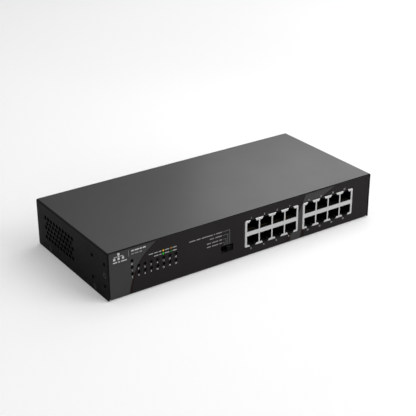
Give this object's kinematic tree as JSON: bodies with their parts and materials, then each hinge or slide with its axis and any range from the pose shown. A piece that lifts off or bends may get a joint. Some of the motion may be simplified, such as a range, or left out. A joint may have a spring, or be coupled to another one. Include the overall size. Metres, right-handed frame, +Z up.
{
  "type": "desktop network switch",
  "caption": "Desktop network switch: folded steel case with two stacked blocks of RJ45 jacks, status lamps, a slide selector and a rear mains inlet.",
  "frame": {"origin": "centre of the underside of the case, on the surface it stands on", "axes": "+Z up, front panel with the jacks facing -Y, +X to the right when looking at the front panel"},
  "size_m": [0.28, 0.13, 0.044],
  "materials": {
    "case_paint": "fine-grain black powder coat on folded steel",
    "front_film": "printed satin polycarbonate film",
    "black_steel": "black-oxide screws",
    "zinc_steel": "zinc-plated steel",
    "tin_shield": "bright tin-plated brass sheet",
    "black_plastic": "black glass-filled nylon",
    "board_green": "solder-masked glass-epoxy board",
    "board_tan": "paper-phenolic board",
    "chip_epoxy": "moulded epoxy packages",
    "gold_contact": "gold-plated phosphor bronze",
    "brass_pin": "nickel-washed brass blades",
    "bare_aluminium": "extruded aluminium",
    "clear_guide": "clear acrylic light pipes",
    "phenolic": "brown phenolic laminate",
    "header_nylon": "natural nylon",
    "capacitor_sleeve": "shrink sleeve over an aluminium can",
    "transformer_tape": "ferrite core with yellow polyester tape",
    "copper_winding": "enamelled copper wire on a ferrite core",
    "film_box": "yellow moulded box",
    "fuse_glass": "glass tube with nickel end caps",
    "insulator_sheet": "white polyester insulating sheet",
    "lead_brown": "PVC insulation",
    "lead_blue": "PVC insulation",
    "lead_green": "green PVC insulation with yellow stripe",
    "lead_red": "PVC insulation",
    "lead_black": "PVC insulation"
  },
  "bodies": {
    "case": {"base_chassis": "case_paint", "top_cover": "case_paint", "front_overlay": "front_film", "cover_screw_left_upper": "black_steel", "cover_screw_left_front": "black_steel", "cover_screw_left_rear": "black_steel", "cover_screw_right_upper": "black_steel", "cover_screw_right_front": "black_steel", "cover_screw_right_rear": "black_steel", "main_board": "board_green", "board_screw_1": "zinc_steel", "board_screw_2": "zinc_steel", "board_screw_3": "zinc_steel", "board_screw_4": "zinc_steel", "jack_a_shield": "tin_shield", "jack_a_housing": "black_plastic", "jack_a_contacts": "gold_contact", "jack_b_shield": "tin_shield", "jack_b_housing": "black_plastic", "jack_b_contacts": "gold_contact", "mode_switch_frame": "zinc_steel", "mode_switch_base": "phenolic", "indicator_light_guide": "clear_guide", "indicator_shroud": "black_plastic", "switch_chip": "chip_epoxy", "switch_heatsink": "bare_aluminium", "phy_chip_a": "chip_epoxy", "phy_chip_b": "chip_epoxy", "magnetics_1": "chip_epoxy", "magnetics_2": "chip_epoxy", "magnetics_3": "chip_epoxy", "magnetics_4": "chip_epoxy", "magnetics_5": "chip_epoxy", "magnetics_6": "chip_epoxy", "magnetics_7": "chip_epoxy", "magnetics_8": "chip_epoxy", "power_header": "header_nylon", "psu_board": "board_tan", "psu_screw_1": "zinc_steel", "psu_screw_2": "zinc_steel", "psu_transformer": "transformer_tape", "psu_bulk_capacitor": "capacitor_sleeve", "psu_line_choke": "copper_winding", "psu_film_capacitor": "film_box", "psu_fuse": "fuse_glass", "psu_heatsink": "bare_aluminium", "psu_output_capacitor": "capacitor_sleeve", "psu_insulator": "insulator_sheet", "ac_inlet_body": "black_plastic", "ac_inlet_line_pin": "brass_pin", "ac_inlet_neutral_pin": "brass_pin", "ac_inlet_earth_pin": "brass_pin", "line_lead": "lead_brown", "neutral_lead": "lead_blue", "earth_lead": "lead_green", "dc_lead_positive": "lead_red", "dc_lead_negative": "lead_black", "earth_screw": "zinc_steel"},
    "mode_slider": {"mode_switch_slider": "black_plastic", "mode_switch_wiper": "gold_contact"}
  },
  "joints": [
    {"name": "mode_switch_slide", "type": "slide", "parent": "case", "child": "mode_slider", "axis": [1, 0, 0], "range_m": [-0.004, 0.002]}
  ]
}
